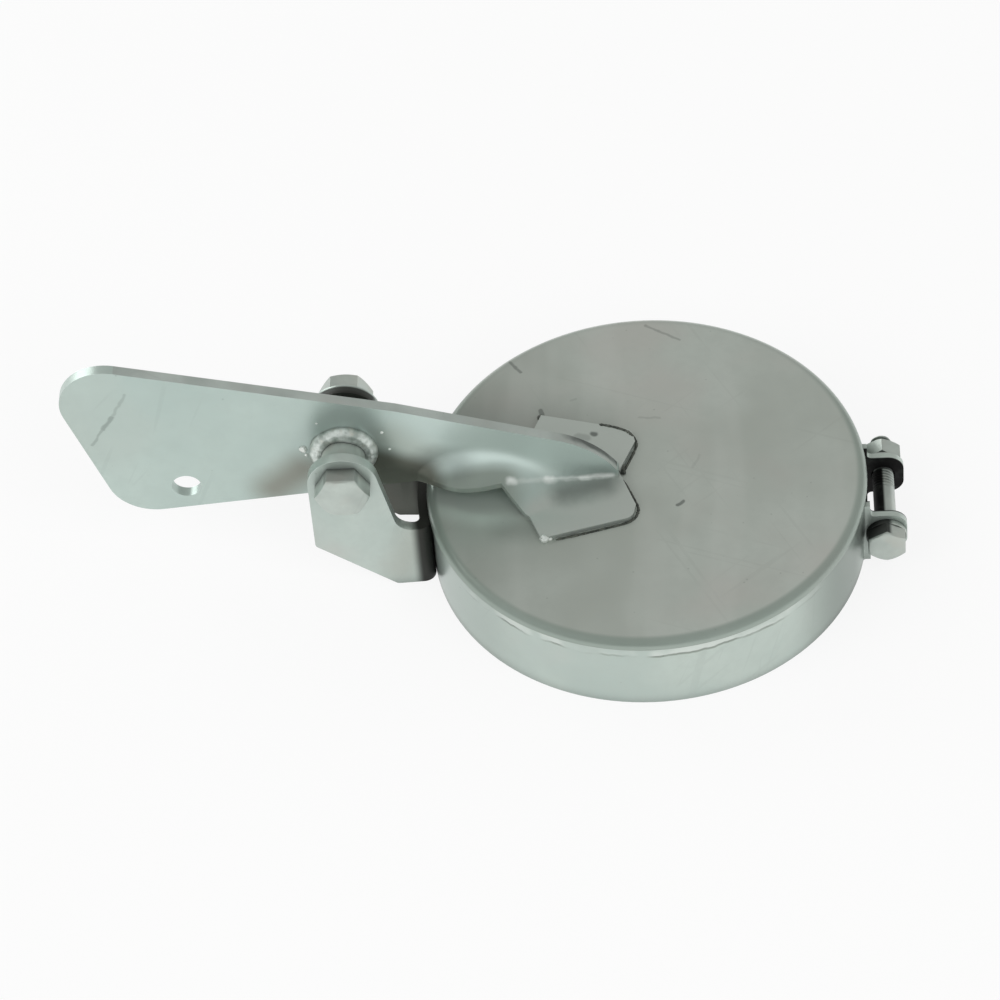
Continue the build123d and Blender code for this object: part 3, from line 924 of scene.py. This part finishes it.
def make_seam(name, path, material, seed):
    """Thin dark run along a foot's edge, lying on the lid, wider and thinner by turns: partly weld
    residue, partly painted shade for the gap under the foot.
    """
    points = smooth_path(path, SEAM_STEPS)
    last = len(points) - 1
    bm = bmesh.new()
    rings = []
    for k, point in enumerate(points):
        along = (points[min(k + 1, last)] - points[max(k - 1, 0)]).normalized()
        side = Vector((-along.y, along.x, 0.0)).normalized()
        rough = noise.noise(Vector((k * 0.37, seed, 0.0)))
        fine = noise.noise(Vector((k * 1.3, seed, 5.0)))
        taper = min(1.0, 0.25 + 0.25 * min(k, last - k))
        width = (SEAM_HALF_WIDTH + 0.2 * rough + 0.08 * fine) * taper
        height = (SEAM_HEIGHT + 0.12 * rough) * taper
        ring = []
        for turn in turns(SEAM_AROUND):
            place = point + side * (width * math.cos(turn))
            ring.append((place.x, place.y, place.z + height * math.sin(turn)))
        rings.append(ring_of(bm, ring))
    closed_tube(bm, rings)
    add_weld_detail(name, bm, material, 60.0)


def build():
    lid_marks = [
        ((*start, LID_TOP), (*end, LID_TOP), width, strength)
        for start, end, width, strength in LID_MARKS
    ]
    lid_zinc = zinc(
        "zinc_lid",
        dark=(0.455, 0.495, 0.45), light=(0.53, 0.58, 0.535), tint=(0.525, 0.52, 0.485),
        cloud=22.0, ripple=0.4, ripple_size=18.0, marks=lid_marks, extra=lid_painted_light_and_streaks,
    )
    arm_zinc = zinc(
        "zinc_arm",
        dark=(0.44, 0.54, 0.505), light=(0.53, 0.63, 0.585), tint=(0.48, 0.55, 0.51),
        cloud=18.0, ripple=0.3, ripple_size=24.0, crevice=0.2, crevice_reach=8.0,
        marks=ARM_MARKS, glints=ARM_PAINTED_GLINTS, extra=arm_scale_and_painted_light,
    )
    sheared = zinc(
        "zinc_sheared_edge",
        dark=(0.43, 0.485, 0.455), light=(0.56, 0.62, 0.585), tint=(0.46, 0.485, 0.455),
        cloud=60.0, ripple=0.2, ripple_size=220.0, roughness=0.48, grain=0.04,
        crevice=0.5, crevice_reach=8.0, marks=EDGE_MARKS,
    )
    strap_zinc = zinc(
        "zinc_strap",
        dark=(0.47, 0.55, 0.51), light=(0.56, 0.635, 0.585), tint=(0.54, 0.56, 0.53),
        cloud=24.0, ripple=0.3, ripple_size=34.0, crevice=0.35, extra=band_lip,
    )
    bracket_zinc = zinc(
        "zinc_bracket",
        dark=(0.47, 0.55, 0.51), light=(0.55, 0.625, 0.58), tint=(0.54, 0.54, 0.51),
        cloud=30.0, ripple=0.3, ripple_size=34.0, crevice=0.4, extra=bracket_shade,
    )
    bolt_zinc = zinc(
        "zinc_fastener",
        dark=(0.44, 0.49, 0.455), light=(0.55, 0.61, 0.565), tint=(0.52, 0.53, 0.48),
        cloud=90.0, ripple=0.1, ripple_size=90.0, crevice=0.85, extra=fastener_shade,
    )
    weld_metal = zinc(
        "weld_bead",
        dark=(0.4, 0.46, 0.42), light=(0.88, 0.94, 0.9), tint=(0.7, 0.7, 0.62),
        cloud=330.0, ripple=0.2, ripple_size=200.0, grain=0.02,
        crevice=0.5, crevice_reach=2.5,
    )
    tack_metal = zinc(
        "weld_tack",
        dark=(0.78, 0.84, 0.8), light=(0.88, 0.92, 0.88), tint=(0.82, 0.83, 0.78),
        cloud=160.0, ripple=0.2, ripple_size=260.0, roughness=0.3, grain=0.02,
    )
    residue_and_shade = residue_and_gap_shade()

    make_lid(lid_zinc)
    dressed("clamp_band", "clamp", strap_zinc, edge=0.35)
    dressed("hinge_bracket", "clamp", bracket_zinc, edge=0.45, angle=50.0)
    for node in ("arm_front_plate", "arm_rear_plate"):
        plate = dressed(node, "flap", arm_zinc, edge=0.2)
        cut_edges(plate, sheared)
    screw = dressed("clamp_screw", "clamp", bolt_zinc, edge=0.2)
    add_thread(
        screw, SCREW_X, SCREW_Z, radius=3.0, pitch=1.0, y_plain=-13.1, y_thread=3.9, y_end=21.9
    )
    dressed("clamp_washers", "clamp", bolt_zinc, edge=0.2)
    dressed("clamp_nut", "clamp", bolt_zinc, edge=0.2)
    bolt = dressed("pivot_bolt", "clamp", bolt_zinc, edge=0.3)
    add_thread(
        bolt, PIVOT_X, PIVOT_Z, radius=4.0, pitch=1.25, y_plain=-14.0, y_thread=12.0, y_end=21.0
    )
    dressed("pivot_nut", "clamp", bolt_zinc, edge=0.3)
    dressed("pivot_sleeve", "flap", bolt_zinc, edge=0.15)
    make_weld("sleeve_weld_front", weld_metal, side=-1)
    make_weld("sleeve_weld_rear", weld_metal, side=1)
    make_drops(tack_metal, residue_and_shade)
    make_seam("foot_seam_front", FRONT_SEAM, residue_and_shade, seed=1.0)
    make_seam("foot_seam_rear", REAR_SEAM, residue_and_shade, seed=2.0)


# Studio
def make_floor():
    """Pale paper that keeps the shadow and looks white to the camera and in reflections."""
    material, g, place = new_material("floor_paper")
    tone = g.ramp(g.noise(place, 3.0, 3.0), 0.3, 0.7, 0.86, 0.89)
    paper = g.put("BsdfDiffuse", Color=g.grey(tone), Roughness=0.5)
    glow = g.put("Emission", Color=rgb(1, 1, 1), Strength=1.0)
    rays = g.put("LightPath").outputs
    seen = g.largest(
        rays["Is Camera Ray"],
        rays["Is Glossy Ray"],
        rays["Is Transmission Ray"],
    )
    mixed = g.put("MixShader", Fac=g.product(seen, FLOOR_GLOW))
    g.tree.links.new(paper.outputs[0], mixed.inputs[1])
    g.tree.links.new(glow.outputs[0], mixed.inputs[2])
    g.show(mixed)
    bm = bmesh.new()
    bmesh.ops.create_grid(bm, x_segments=12, y_segments=12, size=FLOOR_HALF)
    floor = new_object("floor", bm, material)


def make_world():
    """Soft grey surroundings, paler behind the object and nearly white at the horizon."""
    world = bpy.data.worlds.new("studio")
    bpy.context.scene.world = world
    world.use_nodes = True
    g = Graph(world.node_tree)
    _, y, z = g.parts(g.put("TexCoord").outputs["Generated"])
    behind = g.ramp(y, -0.5, 0.45)
    colour = g.mix(behind, rgb(0.36, 0.375, 0.365), rgb(0.46, 0.455, 0.445))
    colour = g.mix(g.ramp(z, 0.2, 0.12), colour, rgb(0.94, 0.94, 0.94))
    g.show(g.put("Background", Color=colour, Strength=1.0), "OutputWorld")


def make_lamps():
    for name, size, energy, place, mirrored in LAMPS:
        data = bpy.data.lights.new(name, "AREA")
        data.shape = "DISK"
        data.size = size
        data.energy = energy
        lamp = bpy.data.objects.new(name, data)
        lamp.location = place
        lamp.visible_glossy = mirrored
        aim = Vector(LAMPS_AIM) - Vector(place)
        lamp.rotation_euler = aim.to_track_quat("-Z", "Y").to_euler()
        bpy.context.scene.collection.objects.link(lamp)


bpy.context.scene.view_settings.view_transform = "Standard"
place_camera()
make_floor()
make_world()
make_lamps()
build()
